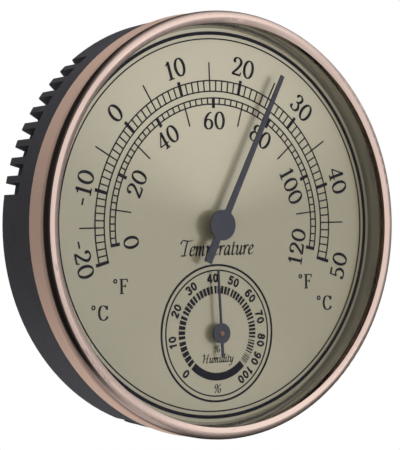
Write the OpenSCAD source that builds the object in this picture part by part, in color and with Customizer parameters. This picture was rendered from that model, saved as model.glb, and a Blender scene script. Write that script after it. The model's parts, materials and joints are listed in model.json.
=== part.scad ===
// Wall-hung dial instrument with a temperature pointer and a smaller humidity dial.
// Every piece is drawn lying on its back: x to the right, y up the dial and z from
// the wall towards the viewer. stand_up() then turns it so that the front faces -Y.

/* [Case] */
// Depth of the case from its rear face to the seat of the dial plate
case_depth = 16.2; // [15:0.1:22]
// Thickness of the case's side wall
case_wall = 2; // [1.6:0.1:2.6]
// Thickness of the case's rear wall
rear_wall = 2; // [1.6:0.1:2.6]
// How much smaller the rear face's radius is than the shoulder's
case_draft = 1; // [0.5:0.05:2.5]
// Radius of the rounded rear corner
rear_round = 0.8; // [0.4:0.1:1.4]
// Number of vent slots in one group
vent_count = 9; // [5:1:10]
// Angle from one vent slot to the next
vent_pitch = 5.15; // [4.2:0.05:6]
// Width of a vent slot
vent_w = 2.75; // [1.2:0.05:2.9]
// How far a vent slot runs forward from the rear face
vent_depth = 7.5; // [3:0.5:9]
// How far a vent slot runs inward across the rear face
vent_reach = 3; // [2.4:0.1:5]
// Angle of the two upper vent groups to either side of the top
vent_turn = 58.6; // [52:0.1:64]

/* [Wall hanger] */
// Height of the keyhole's round entry above the dial axis
key_height = 35; // [28:0.5:37]
// Radius of the round entry, which lets a screw's head in
key_head_r = 4; // [3:0.1:4.5]
// Half width of the slot, which holds the screw's shank
key_slot_r = 2.1; // [1.5:0.1:2.3]
// Length of the slot from the entry's centre to its end's centre
key_travel = 7; // [5.5:0.5:8]

/* [Bezel] */
// Overall diameter over the bezel's bead
bezel_d = 102; // [98:1:112]
// Thickness of the pressed sheet
sheet_t = 0.5; // [0.4:0.05:0.6]
// Radius of the bead's outer side, in section
bead_r = 2.2; // [2:0.1:2.4]
// Radius of the bead's nose, in section
nose_r = 1.3; // [1:0.1:1.6]
// Radius of the shallow slope from the nose to the sight opening, in section
slope_r = 3.2; // [2.6:0.1:4]
// Width of the rim from the outside to the sight opening
rim_w = 2.9; // [2.7:0.1:3.3]
// How far the band lies inside the bead
band_step = 0.1; // [0:0.05:0.3]
// Depth of the crease between band and bead
crease_depth = 0.7; // [0.5:0.05:0.9]
// How far the band reaches back over the case, behind the dial plate
band_cover = 1.85; // [1.5:0.05:4]
// How far the bead's inner lip turns back, from the bead's front to the lens
lip_depth = 1.15; // [0.4:0.05:1.2]
// Depth of the inward roll that snaps behind the case's rim
snap_depth = 0.4; // [0.2:0.05:0.5]

/* [Lens and spacer] */
// Thickness of the lens
lens_t = 0.6; // [0.5:0.1:1.2]
// Height of the spacer ring, from dial plate to lens
spacer_h = 3.5; // [3.2:0.1:6]
// How much the spacer ring narrows from the lens to the dial
spacer_flare = 1; // [0:0.1:1.5]

/* [Dial plate] */
// Thickness of the dial plate
dial_t = 0.6; // [0.4:0.1:1]
// Width of the key that stops the dial plate from turning
key_w = 3; // [2:0.1:5]

/* [Printing] */
// Thickness of the printed layer
ink_t = 0.08; // [0.05:0.01:0.15]
// Gap from the spacer ring to the middle of the thick border ring
border_gap = 1.21; // [0.6:0.01:2]
// Gap between the middles of the two border rings
border_step = 1.35; // [0.8:0.01:2]
// Gap from the thin border ring to the ends of the Celsius scale's long lines
celsius_gap = 5.46; // [4:0.01:7]
// Width of the Celsius band
celsius_w = 2.87; // [2:0.01:3.5]
// Gap between the Celsius and the Fahrenheit band
band_gap = 1.28; // [0.8:0.01:2]
// Width of the Fahrenheit band
fahrenheit_w = 1.79; // [1.4:0.01:2.4]
// Length of a five-degree line beyond its band
long_line = 4.2; // [2:0.1:5]
// Length of a numbered mark beyond its band
short_line = 0.8; // [0.4:0.1:1.5]
// Outer radius of the humidity dial's block band
block_r = 11.35; // [9:0.05:12]
// Width of the block band
block_w = 1.85; // [1:0.05:3]
// Radius of the humidity dial's thin ring
inner_ring_r = 15.06; // [13.5:0.01:15.5]
// Radius of the humidity dial's thick ring
outer_ring_r = 16.3; // [15.8:0.1:17.5]
// Gap from the thin border ring to the humidity dial's thick ring
humidity_gap = 1.96; // [1:0.01:2.8]

/* [Temperature movement] */
// Temperature shown, in degrees Celsius
shown_celsius = 24.75; // [-20:0.05:50]
// Radius of the arbor
temperature_arbor_r = 0.8; // [0.6:0.05:1]
// Radius of the brass collet on the arbor
temperature_collet_r = 2; // [1.6:0.1:2.6]
// Outer radius of the bimetal coil, to the middle of its strip
temperature_coil_r = 11; // [8:0.5:12]
// Number of turns in the bimetal coil
temperature_turns = 6; // [3:1:7]
// Thickness of the bimetal strip
temperature_strip_t = 0.4; // [0.2:0.05:0.5]
// Width of the bimetal strip
temperature_strip_w = 4.6; // [3:0.1:5.2]
// Radius of the post that holds the coil's outer end
temperature_stud_r = 0.9; // [0.6:0.1:1.2]

/* [Humidity movement] */
// Relative humidity shown, in per cent
shown_humidity = 40.8; // [0:0.1:100]
// Radius of the arbor
humidity_arbor_r = 0.6; // [0.45:0.05:0.8]
// Radius of the brass collet on the arbor
humidity_collet_r = 1.6; // [1.3:0.1:2]
// Outer radius of the humidity coil, to the middle of its strip
humidity_coil_r = 7; // [5:0.5:8]
// Number of turns in the humidity coil
humidity_turns = 5; // [3:1:6]
// Thickness of the humidity strip
humidity_strip_t = 0.3; // [0.2:0.05:0.35]
// Width of the humidity strip
humidity_strip_w = 3.6; // [2.5:0.1:4.4]
// Radius of the post that holds the coil's outer end
humidity_stud_r = 0.6; // [0.4:0.1:0.8]
// Radius of the slotted adjuster seen in the rear wall
adjuster_r = 3.2; // [2.8:0.1:3.6]
// Radius of the adjuster's journal in the frame
journal_r = 2; // [1.6:0.1:2.2]
// Thickness of the adjuster's arm
arm_t = 0.8; // [0.5:0.1:1]
// Thickness of the friction washer
washer_t = 0.4; // [0.2:0.05:0.6]

/* [Movement frames] */
// Thickness of the frames' sheet
strap_t = 0.8; // [0.6:0.1:1]
// Width of the temperature frame's straps
temperature_strap_w = 10; // [7:0.5:12]
// Width of the humidity frame's straps
humidity_strap_w = 8; // [7:0.5:10]
// Radius of a frame screw's head
screw_head_r = 2; // [1.6:0.1:2.4]
// Height of a frame screw's head
screw_head_h = 1.3; // [0.8:0.1:1.6]
// Radius of a frame screw's shank
screw_r = 0.95; // [0.7:0.05:1.1]
// Length of a frame screw under its head
screw_len = 4; // [3:0.5:4.5]
// Radius of the case's screw bosses
boss_r = 2.6; // [2.2:0.1:3.2]

/* [Pointers] */
// Thickness of the pointers' sheet
pointer_t = 0.4; // [0.3:0.05:0.6]
// Gap from the temperature pointer's tip to the thin border ring
tip_gap = 3.98; // [3:0.01:8]
// Length of the temperature pointer's tail
temperature_tail_len = 9.8; // [6:0.1:10]
// Width of the temperature pointer at its axis
temperature_root_w = 1.75; // [1.2:0.05:2.4]
// Width of the temperature pointer at its tip
temperature_pointer_w = 1.05; // [0.7:0.05:2]
// Width of the temperature pointer's tail at its square end
temperature_tail_w = 2.2; // [1:0.05:2.6]
// Radius of the temperature pointer's disc
temperature_disc_r = 3.67; // [2.5:0.01:4.5]
// Length of the humidity pointer from its axis to its tip
humidity_pointer_len = 15.2; // [12:0.1:15.8]
// Length of the humidity pointer's tail
humidity_tail_len = 5.8; // [4:0.1:8]
// Width of the humidity pointer at its axis
humidity_root_w = 0.5; // [0.4:0.05:1]
// Width of the humidity pointer at its tip
humidity_pointer_w = 0.45; // [0.35:0.05:1]
// Width of the humidity pointer's tail at its square end
humidity_tail_w = 0.65; // [0.4:0.05:1.5]
// Radius of the humidity pointer's disc
humidity_disc_r = 2.45; // [1.8:0.05:3]
// How far the humidity pointer lies behind the temperature pointer
pointer_step = 1.1; // [0.9:0.1:1.8]
// Length of the brass boss under each pointer
pointer_boss_len = 1.2; // [0.8:0.1:1.6]
// Wall of the brass boss under each pointer
pointer_boss_wall = 0.8; // [0.5:0.1:1.2]

/* [Clearances] */
// Radial clearance of pieces that are pressed together
press_gap = 0.02; // [0.01:0.01:0.04]
// Radial clearance of an arbor in its bearing
run_gap = 0.04; // [0.02:0.01:0.08]
// End clearance between turning and fixed faces
end_gap = 0.05; // [0.03:0.01:0.1]
// Clearance between the pieces stacked inside the bezel and its wall
stack_gap = 0.15; // [0.1:0.05:0.3]
// Gap from the temperature pointer to the lens
lens_air = 0.4; // [0.3:0.05:0.8]
// Gap from a frame to the back of the dial plate
frame_air = 1.4; // [1.2:0.1:2]
// Gap from a coil's edges to the straps before and behind it
coil_air = 1.1; // [0.8:0.1:1.4]
// Gap from the outermost piece on a coil's post to the frame's webs
web_air = 0.8; // [0.5:0.1:1.5]

/* [Hidden] */
$fn = 96;
cut = 1;

outer_r = bezel_d / 2;
band_r = outer_r - band_step;
band_inner_r = band_r - sheet_t;
nose_turn = 47;
slope_turn = 97;
bead_centre_r = outer_r - bead_r;
crease_r = band_r - crease_depth;
crease_angle = acos((crease_r - bead_centre_r) / bead_r);
sight_r = outer_r - rim_w;
dial_sight_r = sight_r - spacer_flare;

face_z = case_depth + dial_t;
lens_z = face_z + spacer_h;
lens_front_z = lens_z + lens_t;
lip_play = 0.1;
front_z = lens_front_z + lip_play + lip_depth + sheet_t;
bead_z = front_z - nose_r - (bead_r - nose_r) * sin(nose_turn);
bead_centre = [bead_centre_r, bead_z];
nose_centre = bead_centre + (bead_r - nose_r) * toward(nose_turn);
slope_centre = nose_centre - (slope_r - nose_r) * toward(slope_turn);
crease_z = bead_z - bead_r * sin(crease_angle);
crease_run = 0.35;
band_rear_z = case_depth - band_cover;
snap_h = sheet_t;

stack_r = crease_r - sheet_t - stack_gap;

neck_r = band_inner_r - press_gap;
neck_inner_r = neck_r - case_wall + snap_depth;
shoulder_step = 0.3;
shoulder_r = band_r - shoulder_step;
rear_r = shoulder_r - case_draft;
draft_angle = atan(case_draft / band_rear_z);
round_r = rear_r + rear_round * tan(draft_angle) - rear_round / cos(draft_angle);
snap_play = 0.1;
dial_r = neck_r - stack_gap;
vent_centres = [90 - vent_turn, 90 + vent_turn, 270];

key_h = dial_t - end_gap;
key_root_r = neck_inner_r + stack_gap;

adjuster_recess = 0.5;
adjuster_play = 0.3;
adjuster_hole_r = adjuster_r + adjuster_play;
driver_slot_w = 0.8;
driver_slot_h = 1;

frame_front_z = case_depth - frame_air;
temperature_frame_h = 2 * strap_t + 2 * coil_air + temperature_strip_w;
temperature_frame_z = frame_front_z - temperature_frame_h;
temperature_coil_z = temperature_frame_z + strap_t + coil_air;
humidity_frame_h = 2 * strap_t + arm_t + 2 * coil_air + humidity_strip_w;
humidity_frame_z = frame_front_z - humidity_frame_h;
arm_z = humidity_frame_z + strap_t + end_gap;
humidity_coil_z = humidity_frame_z + strap_t + arm_t + coil_air;

temperature_stud_x = temperature_coil_r + temperature_strip_t / 2 + temperature_stud_r + end_gap;
temperature_web_x = temperature_stud_x + temperature_stud_r + web_air;
arm_edge = 0.8;
humidity_stud_x = humidity_coil_r + humidity_strip_t / 2 + humidity_stud_r + end_gap;
humidity_web_x = humidity_stud_x + humidity_stud_r + arm_edge + web_air;
ear_gap = 0.6;
temperature_ear_x = temperature_web_x + strap_t + screw_head_r + ear_gap;
humidity_ear_x = humidity_web_x + strap_t + screw_head_r + ear_gap;
screw_play = 0.15;
screw_hole_r = screw_r + screw_play;
pilot_r = screw_r + press_gap;
pilot_spare = 0.4;
pilot_depth = screw_len - strap_t + pilot_spare;
cross_w = 0.5;
cross_depth = 0.6;

bush_wall = 0.8;
bush_flange = 0.6;
bush_flange_t = 0.5;

temperature_tip_z = lens_z - lens_air;
humidity_tip_z = temperature_tip_z - pointer_step;
arbor_hole_gap = 0.6;
arbor_rise = 0.15;

// The clock angle of a middle temperature, the degrees of arc per degree Celsius
// there, and how the scale opens out as it rises
middle_celsius = 15;
middle_angle = -1.9;
arc_per_celsius = 3;
arc_growth = 0.002;
low_celsius = -20;
high_celsius = 50;
fahrenheit_zero = 32;
fahrenheit_step = 1.8;
low_fahrenheit = 0;
high_fahrenheit = 120;
fahrenheit_line_step = 2;

// Every tenth line of a scale is numbered, and every fifth runs out beyond its band
numbered_step = 10;
marked_step = 5;

// The humidity scale closes up as it rises: the clock angle of each ten per cent
humidity_marks = [-134.8, -97.5, -64.3, -34.3, -5, 22.5, 49.2, 75, 99.7, 119.8, 135];
humidity_decade = 10;
humidity_block = 2;
humidity_full = 100;
humidity_lookup = [for (i = [0:len(humidity_marks) - 1])
    [humidity_decade * i, humidity_marks[i]]];

thin_line = 0.32;
thick_line = 0.8;
border_line = 0.85;
block_gap = 0.17;
decade_gap = 0.32;
humidity_outer_line = 0.5;
arc_step = 3;
full_turn = 360;

border_r = dial_sight_r - border_gap;
inner_border_r = border_r - border_step;
print_edge_r = inner_border_r - thin_line / 2;
celsius_r = print_edge_r - celsius_gap - long_line;
fahrenheit_r = celsius_r - celsius_w - band_gap;
humidity_drop = print_edge_r - humidity_gap - outer_ring_r - humidity_outer_line / 2;
temperature_pointer_len = print_edge_r - tip_gap;

coil_sides = 24;

// Clock angle of a temperature, and of a humidity
function celsius_angle(t) = middle_angle + (t - middle_celsius) * arc_per_celsius
    + pow(t - middle_celsius, 2) * arc_growth;
function fahrenheit_angle(t) = celsius_angle((t - fahrenheit_zero) / fahrenheit_step);
function humidity_angle(h) = lookup(h, humidity_lookup);

// Unit vector in a ring's section, at an angle from straight outward towards the front
function toward(angle) = [cos(angle), sin(angle)];

module stand_up() {
    rotate([90, 0, 0]) children();
}

module at_humidity() {
    translate([0, -humidity_drop, 0]) children();
}

// Turns a shape that is drawn at twelve o'clock to a clock angle
module clock(angle) {
    rotate([0, 0, -angle]) children();
}

module tube(outer, inner, z, h) {
    translate([0, 0, z])
    difference() {
        cylinder(r = outer, h = h);
        translate([0, 0, -cut]) cylinder(r = inner, h = h + 2 * cut);
    }
}

module rod(radius, z, h) {
    translate([0, 0, z]) cylinder(r = radius, h = h);
}

// Case: a moulded cup with a rounded rear corner and a thinner neck under the bezel
module case_outline() {
    union() {
        polygon([
            [0, 0],
            [round_r, 0],
            [round_r + rear_round * cos(draft_angle), rear_round * (1 - sin(draft_angle))],
            [shoulder_r, band_rear_z],
            [neck_r, band_rear_z],
            [neck_r, case_depth],
            [0, case_depth]
        ]);
        translate([round_r, rear_round]) circle(r = rear_round);
    }
}

module case_hollow() {
    polygon([
        [0, rear_wall],
        [rear_r - case_wall, rear_wall],
        [neck_inner_r, band_rear_z],
        [neck_inner_r, case_depth + cut],
        [0, case_depth + cut]
    ]);
}

module snap_groove() {
    translate([neck_r - snap_depth - snap_play, band_rear_z])
        square([snap_depth + cut, snap_h + snap_play]);
}

module vent_group(centre) {
    for (i = [0:vent_count - 1])
        rotate([0, 0, centre + (i - (vent_count - 1) / 2) * vent_pitch])
        translate([rear_r - vent_reach, -vent_w / 2, -cut])
            cube([outer_r, vent_w, vent_depth + cut]);
}

module keyhole() {
    translate([0, key_height, -cut]) {
        cylinder(r = key_head_r, h = rear_wall + 2 * cut);
        translate([0, key_travel, 0]) cylinder(r = key_slot_r, h = rear_wall + 2 * cut);
        translate([-key_slot_r, 0, 0]) cube([2 * key_slot_r, key_travel, rear_wall + 2 * cut]);
    }
}

module boss_pair(ear_x, top_z) {
    for (side = [-1, 1])
        translate([side * ear_x, 0, rear_wall - cut / 2])
            cylinder(r = boss_r, h = top_z - rear_wall + cut / 2);
}

module pilot_pair(ear_x, top_z) {
    for (side = [-1, 1])
        translate([side * ear_x, 0, top_z - pilot_depth])
            cylinder(r = pilot_r, h = pilot_depth + cut);
}

module rear_case() {
    color([0.13, 0.13, 0.14])
    stand_up()
    difference() {
        union() {
            rotate_extrude() difference() {
                case_outline();
                case_hollow();
                snap_groove();
            }
            boss_pair(temperature_ear_x, temperature_frame_z);
            at_humidity() boss_pair(humidity_ear_x, humidity_frame_z);
            dial_key();
        }
        for (centre = vent_centres) vent_group(centre);
        keyhole();
        at_humidity() rod(adjuster_hole_r, -cut, rear_wall + 2 * cut);
        pilot_pair(temperature_ear_x, temperature_frame_z);
        at_humidity() pilot_pair(humidity_ear_x, humidity_frame_z);
    }
}

// Upright key on the case's rim, at six o'clock, which fits a notch in the dial plate
module dial_key() {
    translate([-key_w / 2, -dial_r, case_depth - cut])
        cube([key_w, dial_r - key_root_r, key_h + cut]);
}

// Bead's section, a round outer side, a tighter nose and a shallow inner slope, drawn
// smaller by an inset
module bead_section(inset) {
    far = 2 * slope_r;
    difference() {
        translate(bead_centre) circle(r = bead_r - inset);
        difference() {
            polygon([
                nose_centre,
                nose_centre + far * toward(nose_turn),
                nose_centre + far * toward(slope_turn)
            ]);
            translate(nose_centre) circle(r = nose_r - inset);
        }
        difference() {
            polygon([
                nose_centre,
                nose_centre + far * toward(slope_turn),
                [sight_r - far, bead_z + far],
                [sight_r - far, bead_z],
                bead_centre
            ]);
            translate(slope_centre) circle(r = slope_r - inset);
        }
    }
}

// Bezel: one pressed sheet, with a rolled bead in front and a band behind
module bezel_outline() {
    flank_rise = crease_run * (crease_r - bead_centre_r) / crease_depth;
    union() {
        bead_section(0);
        polygon([
            [sight_r, band_rear_z],
            [band_r, band_rear_z],
            [band_r, crease_z - crease_run],
            [bead_centre_r, crease_z + flank_rise],
            [sight_r, crease_z + flank_rise]
        ]);
    }
}

// Room inside the bezel: the bead's hollow around its inner lip, the seat of the lens
// under the lip, and the recess behind the snap roll
module bezel_hollow() {
    lip_z = lens_front_z + lip_play;
    difference() {
        union() {
            bead_section(sheet_t);
            polygon([
                [sight_r - cut, band_rear_z - cut],
                [band_inner_r - snap_depth, band_rear_z - cut],
                [band_inner_r - snap_depth, band_rear_z + snap_h],
                [band_inner_r, band_rear_z + snap_h],
                [band_inner_r, crease_z - 2 * crease_run],
                [crease_r - sheet_t, crease_z],
                [bead_centre_r, lip_z],
                [sight_r - cut, lip_z]
            ]);
        }
        translate([sight_r, lip_z]) square([sheet_t, bead_r]);
    }
    translate([sight_r - 2 * bead_r, band_rear_z]) square([2 * bead_r, 2 * lens_front_z]);
}

module bezel() {
    color([0.85, 0.66, 0.58])
    stand_up()
    rotate_extrude() difference() {
        bezel_outline();
        bezel_hollow();
    }
}

module lens() {
    color([0.85, 0.9, 0.92, 0.3])
    stand_up() rod(stack_r, lens_z, lens_t);
}

module spacer_ring() {
    color([0.55, 0.53, 0.45])
    stand_up()
    rotate_extrude()
    polygon([
        [dial_sight_r, face_z],
        [stack_r, face_z],
        [stack_r, lens_z],
        [sight_r, lens_z]
    ]);
}

module dial_plate() {
    color([0.76, 0.74, 0.66])
    stand_up()
    difference() {
        rod(dial_r, case_depth, dial_t);
        rod(temperature_arbor_r + arbor_hole_gap, case_depth - cut, dial_t + 2 * cut);
        at_humidity() rod(humidity_arbor_r + arbor_hole_gap, case_depth - cut, dial_t + 2 * cut);
        translate([-key_w / 2 - stack_gap, -dial_r - cut, case_depth - cut])
            cube([key_w + 2 * stack_gap, dial_r - key_root_r + cut + stack_gap, dial_t + 2 * cut]);
    }
}

// Printing: a band runs clockwise between two clock angles, inward from its radius
module arc_band(radius, width, from, to) {
    steps = ceil((to - from) / arc_step);
    outer = [for (i = [0:steps]) let (a = from + (to - from) * i / steps)
        radius * [sin(a), cos(a)]];
    inner = [for (i = [steps:-1:0]) let (a = from + (to - from) * i / steps)
        (radius - width) * [sin(a), cos(a)]];
    polygon(concat(outer, inner));
}

module ring_line(radius, width) {
    difference() {
        circle(r = radius + width / 2);
        circle(r = radius - width / 2);
    }
}

// Ladder of cells between two arcs, with a line at each angle: every tenth is thick
module graduated_band(radius, width, angles) {
    middle_r = radius - width / 2;
    last = len(angles) - 1;
    function line_w(i) = i % numbered_step == 0 ? thick_line : thin_line;
    function half_line(i) = asin(line_w(i) / 2 / middle_r);
    difference() {
        arc_band(radius, width, angles[0] - half_line(0), angles[last] + half_line(last));
        for (i = [0:last - 1])
            arc_band(radius - thin_line, width - 2 * thin_line,
                angles[i] + half_line(i), angles[i + 1] - half_line(i + 1));
    }
}

// Lines beyond the band: a short thick one and a long thin one by turns
module band_marks(angles, root_r, outward) {
    for (i = [0:marked_step:len(angles) - 1]) {
        numbered = i % numbered_step == 0;
        width = numbered ? thick_line : thin_line;
        beyond = numbered ? short_line : long_line;
        clock(angles[i])
        translate([-width / 2, outward ? root_r - thin_line / 2 : root_r - beyond])
            square([width, beyond + thin_line / 2]);
    }
}

module celsius_scale() {
    lines = [for (t = [low_celsius:high_celsius]) celsius_angle(t)];
    graduated_band(celsius_r, celsius_w, lines);
    band_marks(lines, celsius_r, true);
}

module fahrenheit_scale() {
    lines = [for (t = [low_fahrenheit:fahrenheit_line_step:high_fahrenheit]) fahrenheit_angle(t)];
    graduated_band(fahrenheit_r, fahrenheit_w, lines);
    band_marks(lines, fahrenheit_r - fahrenheit_w, false);
}

module temperature_scale() {
    color([0.2, 0.19, 0.22])
    stand_up()
    translate([0, 0, face_z])
    linear_extrude(ink_t)
    union() {
        ring_line(border_r, border_line);
        ring_line(inner_border_r, thin_line);
        celsius_scale();
        fahrenheit_scale();
    }
}

// Five blocks for each ten per cent, parted by thin gaps, and a plain arc below
module humidity_blocks() {
    gap_angle = asin(block_gap / block_r);
    decade_angle = asin(decade_gap / block_r);
    function gap_at(h) = h % humidity_decade == 0 ? decade_angle : gap_angle;
    for (h = [0:humidity_block:humidity_full - humidity_block])
        arc_band(block_r, block_w, humidity_angle(h) + gap_at(h),
            humidity_angle(h + humidity_block) - gap_at(h + humidity_block));
    arc_band(block_r, block_w, humidity_angle(humidity_full) + decade_angle,
        full_turn + humidity_angle(0) - decade_angle);
}

module humidity_scale() {
    color([0.2, 0.19, 0.22])
    stand_up()
    at_humidity()
    translate([0, 0, face_z])
    linear_extrude(ink_t)
    union() {
        ring_line(outer_ring_r, humidity_outer_line);
        ring_line(inner_ring_r, thin_line);
        humidity_blocks();
    }
}

// A frame is bent from one strap: two bearing walls, two webs and two screw ears
module movement_frame(z, h, strap_w, web_x, ear_x, rear_hole_r, front_hole_r) {
    width = 2 * (web_x + strap_t);
    difference() {
        union() {
            translate([-ear_x, -strap_w / 2, z]) cube([2 * ear_x, strap_w, strap_t]);
            for (side = [-1, 1])
                translate([side * ear_x, 0, z]) cylinder(r = strap_w / 2, h = strap_t);
            for (side = [0, 1])
                mirror([side, 0, 0])
                translate([web_x, -strap_w / 2, z]) cube([strap_t, strap_w, h]);
            translate([-width / 2, -strap_w / 2, z + h - strap_t]) cube([width, strap_w, strap_t]);
        }
        rod(rear_hole_r, z - cut, strap_t + 2 * cut);
        rod(front_hole_r, z + h - strap_t - cut, strap_t + 2 * cut);
        for (side = [-1, 1])
            translate([side * ear_x, 0, z - cut])
                cylinder(r = screw_hole_r, h = strap_t + 2 * cut);
    }
}

// Flanged bearing bush, with its flange on the outer side of a strap
module bush(bore_r, strap_z, flange_side) {
    body_r = bore_r + bush_wall;
    flange_z = flange_side > 0 ? strap_z + strap_t : strap_z - bush_flange_t;
    difference() {
        union() {
            rod(body_r, strap_z, strap_t);
            rod(body_r + bush_flange, flange_z, bush_flange_t);
        }
        rod(bore_r, strap_z - 2 * cut, strap_t + 4 * cut);
    }
}

function bush_hole_r(arbor_r) = arbor_r + run_gap + bush_wall + press_gap;

// Flat spiral strip that ends at three o'clock on its outer radius
module spiral_strip(inner_r, coil_r, turns, strip_t, strip_w, z) {
    steps = turns * coil_sides;
    function reach(i) = inner_r + (coil_r - inner_r) * i / steps;
    function turn(i) = full_turn * turns * (i / steps - 1);
    outside = [for (i = [0:steps]) (reach(i) + strip_t / 2) * [cos(turn(i)), sin(turn(i))]];
    inside = [for (i = [steps:-1:0]) (reach(i) - strip_t / 2) * [cos(turn(i)), sin(turn(i))]];
    translate([0, 0, z]) linear_extrude(strip_w) polygon(concat(outside, inside));
}

module temperature_frame() {
    color([0.7, 0.7, 0.68])
    stand_up()
    movement_frame(temperature_frame_z, temperature_frame_h, temperature_strap_w,
        temperature_web_x, temperature_ear_x,
        bush_hole_r(temperature_arbor_r), bush_hole_r(temperature_arbor_r));
}

module temperature_bushes() {
    bore_r = temperature_arbor_r + run_gap;
    color([0.8, 0.66, 0.35])
    stand_up() {
        bush(bore_r, temperature_frame_z, -1);
        bush(bore_r, frame_front_z - strap_t, 1);
    }
}

module temperature_coil() {
    inner_r = temperature_collet_r + end_gap + temperature_strip_t / 2;
    color([0.62, 0.5, 0.36])
    stand_up()
    spiral_strip(inner_r, temperature_coil_r, temperature_turns,
        temperature_strip_t, temperature_strip_w, temperature_coil_z);
}

module temperature_stud() {
    stud_z = temperature_frame_z + strap_t;
    color([0.8, 0.66, 0.35])
    stand_up()
    translate([temperature_stud_x, 0, 0])
        rod(temperature_stud_r, stud_z, coil_air + temperature_strip_w);
}

module temperature_arbor() {
    start_z = temperature_frame_z - bush_flange_t / 2;
    color([0.75, 0.75, 0.77])
    stand_up()
    rod(temperature_arbor_r, start_z, temperature_tip_z - pointer_t - end_gap - start_z);
}

module temperature_collet() {
    color([0.8, 0.66, 0.35])
    stand_up()
    tube(temperature_collet_r, temperature_arbor_r + press_gap,
        temperature_coil_z - coil_air / 2, temperature_strip_w + coil_air);
}

// Pointer blade at twelve o'clock: a tapered needle, a disc and a square-ended tail
module pointer_blade(disc_r, length, tail, root_w, tip_w, tail_w) {
    union() {
        circle(r = disc_r);
        polygon([
            [-root_w / 2, 0],
            [-tail_w / 2, -tail],
            [tail_w / 2, -tail],
            [root_w / 2, 0],
            [tip_w / 2, length],
            [-tip_w / 2, length]
        ]);
    }
}

module temperature_pointer() {
    color([0.24, 0.25, 0.3])
    stand_up()
    clock(celsius_angle(shown_celsius))
    translate([0, 0, temperature_tip_z - pointer_t])
    linear_extrude(pointer_t)
    pointer_blade(temperature_disc_r, temperature_pointer_len, temperature_tail_len,
        temperature_root_w, temperature_pointer_w, temperature_tail_w);
}

module temperature_pointer_boss() {
    color([0.8, 0.66, 0.35])
    stand_up()
    tube(temperature_arbor_r + pointer_boss_wall, temperature_arbor_r + press_gap,
        temperature_tip_z - pointer_t - pointer_boss_len, pointer_boss_len);
}

module humidity_frame() {
    color([0.7, 0.7, 0.68])
    stand_up()
    at_humidity()
    movement_frame(humidity_frame_z, humidity_frame_h, humidity_strap_w,
        humidity_web_x, humidity_ear_x, journal_r + run_gap, bush_hole_r(humidity_arbor_r));
}

module humidity_bush() {
    color([0.8, 0.66, 0.35])
    stand_up()
    at_humidity()
    bush(humidity_arbor_r + run_gap, frame_front_z - strap_t, 1);
}

module adjuster_washer() {
    color([0.72, 0.72, 0.7])
    stand_up()
    at_humidity()
    tube(adjuster_r, journal_r + run_gap, humidity_frame_z - washer_t, washer_t);
}

// Slotted plug in the rear wall, with a journal that runs in the humidity frame
module humidity_adjuster() {
    shoulder_z = humidity_frame_z - washer_t - end_gap;
    front_z = arm_z + arm_t;
    color([0.8, 0.66, 0.35])
    stand_up()
    at_humidity()
    difference() {
        union() {
            rod(adjuster_r, adjuster_recess, shoulder_z - adjuster_recess);
            rod(journal_r, shoulder_z, front_z - shoulder_z);
        }
        translate([-adjuster_r - cut, -driver_slot_w / 2, adjuster_recess - cut])
            cube([2 * (adjuster_r + cut), driver_slot_w, driver_slot_h + cut]);
        rod(humidity_arbor_r + run_gap, arm_z - strap_t, front_z);
    }
}

module adjuster_arm() {
    reach = humidity_stud_x;
    eye_r = humidity_stud_r + arm_edge;
    hub_r = journal_r + arm_edge;
    color([0.8, 0.66, 0.35])
    stand_up()
    at_humidity()
    translate([0, 0, arm_z])
    linear_extrude(arm_t)
    difference() {
        union() {
            circle(r = hub_r);
            translate([reach, 0]) circle(r = eye_r);
            translate([0, -eye_r]) square([reach, 2 * eye_r]);
        }
        circle(r = journal_r + press_gap);
        translate([reach, 0]) circle(r = humidity_stud_r + press_gap);
    }
}

module humidity_coil() {
    inner_r = humidity_collet_r + end_gap + humidity_strip_t / 2;
    color([0.72, 0.6, 0.42])
    stand_up()
    at_humidity()
    spiral_strip(inner_r, humidity_coil_r, humidity_turns,
        humidity_strip_t, humidity_strip_w, humidity_coil_z);
}

module humidity_stud() {
    color([0.8, 0.66, 0.35])
    stand_up()
    at_humidity()
    translate([humidity_stud_x, 0, 0])
        rod(humidity_stud_r, arm_z, humidity_coil_z + humidity_strip_w - arm_z);
}

module humidity_arbor() {
    start_z = arm_z;
    color([0.78, 0.5, 0.38])
    stand_up()
    at_humidity()
    rod(humidity_arbor_r, start_z, humidity_tip_z + arbor_rise - start_z);
}

module humidity_collet() {
    start_z = humidity_coil_z - coil_air / 2;
    color([0.8, 0.66, 0.35])
    stand_up()
    at_humidity()
    tube(humidity_collet_r, humidity_arbor_r + press_gap,
        start_z, humidity_strip_w + coil_air);
}

module humidity_pointer() {
    color([0.2, 0.19, 0.24])
    stand_up()
    at_humidity()
    clock(humidity_angle(shown_humidity))
    translate([0, 0, humidity_tip_z - pointer_t])
    linear_extrude(pointer_t)
    difference() {
        pointer_blade(humidity_disc_r, humidity_pointer_len, humidity_tail_len,
            humidity_root_w, humidity_pointer_w, humidity_tail_w);
        circle(r = humidity_arbor_r + press_gap);
    }
}

module humidity_pointer_boss() {
    color([0.8, 0.66, 0.35])
    stand_up()
    at_humidity()
    tube(humidity_arbor_r + pointer_boss_wall, humidity_arbor_r + press_gap,
        humidity_tip_z - pointer_t - pointer_boss_len, pointer_boss_len);
}

// Pan-head screw with a cross recess, standing on a frame's ear
module frame_screw(strap_z) {
    seat_z = strap_z + strap_t;
    difference() {
        union() {
            rod(screw_head_r, seat_z, screw_head_h);
            rod(screw_r, seat_z - screw_len, screw_len);
        }
        for (angle = [0, 90])
            rotate([0, 0, angle])
            translate([-screw_head_r / 2, -cross_w / 2, seat_z + screw_head_h - cross_depth])
                cube([screw_head_r, cross_w, cross_depth + cut]);
    }
}

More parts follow.
